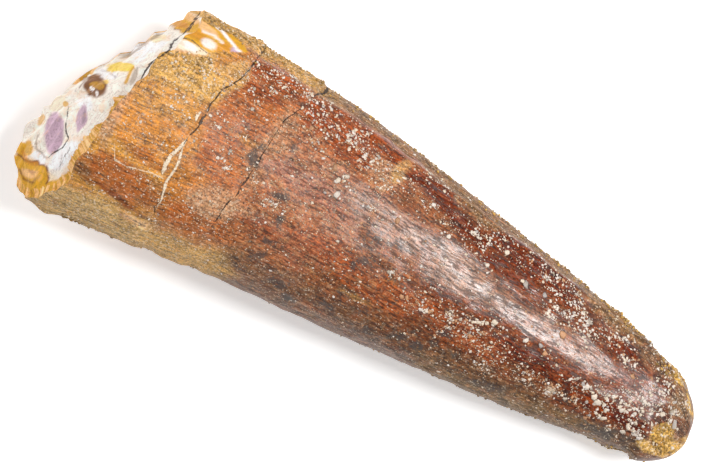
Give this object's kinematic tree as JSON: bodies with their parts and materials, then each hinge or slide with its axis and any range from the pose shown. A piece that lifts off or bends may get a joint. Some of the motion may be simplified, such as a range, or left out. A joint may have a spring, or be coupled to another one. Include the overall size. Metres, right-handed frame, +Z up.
{
  "type": "fossil spinosaurus tooth",
  "caption": "Fossil spinosaurus tooth crown of brown enamel, broken at the root and worn blunt at the tip, lying on its side on a small flat spot",
  "frame": {"origin": "on the surface the tooth lies on, under the middle of its box", "axes": "+X runs from the broken root to the worn tip, +Z is up as the tooth lies, +Y is towards its convex edge"},
  "size_m": [0.0728, 0.0248, 0.0203],
  "materials": {
    "fossil_enamel": "streaked mahogany and orange-brown fossil enamel, half glossy towards the tip, matte tan sediment near the root, cream and lavender mineral on the broken root"
  },
  "bodies": {
    "root": {"tooth": "fossil_enamel"}
  },
  "joints": []
}
